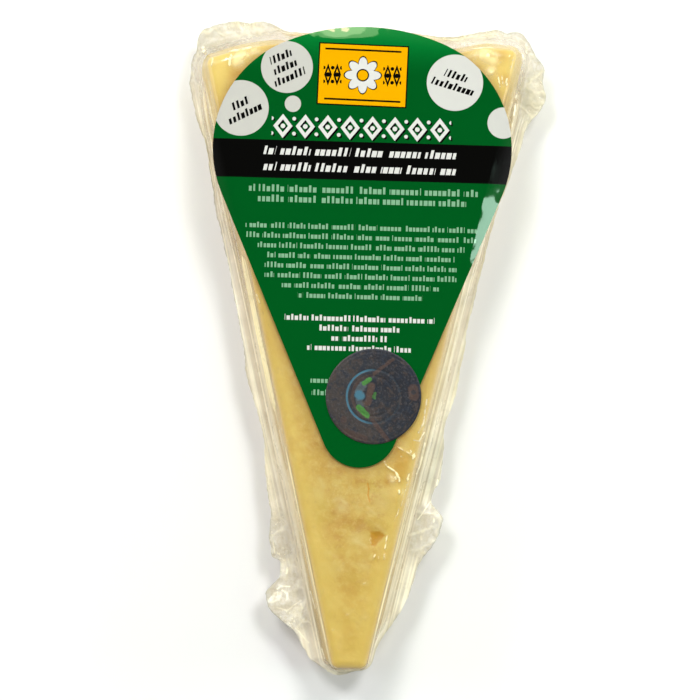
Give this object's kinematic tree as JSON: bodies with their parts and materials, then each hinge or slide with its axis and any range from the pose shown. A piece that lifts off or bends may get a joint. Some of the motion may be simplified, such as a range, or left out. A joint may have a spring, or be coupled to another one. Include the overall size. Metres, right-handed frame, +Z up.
{
  "type": "vacuum-packed parmesan wedge",
  "caption": "Long pie-slice wedge of parmesan sealed in a tight clear pouch with a crumpled seam, a drop-shaped label on its face and a round seal across the label.",
  "frame": {"origin": "middle of the pack's footprint, on the surface that it lies on", "axes": "+Z up out of the labelled face, +Y along the wedge towards the rind end, +X across it to the right as the label is read"},
  "size_m": [0.0948, 0.175, 0.0263],
  "materials": {
    "cheese_in_film": "golden cheese under clear glossy film that turns milky where it is folded",
    "label_print": "glossy green label with a black band, pale discs and an amber panel",
    "seal_foil": "dark grey foil with faint rainbow rings"
  },
  "bodies": {
    "root": {"vacuum_pack": "cheese_in_film", "front_label": "label_print", "seal_sticker": "seal_foil"}
  },
  "joints": []
}
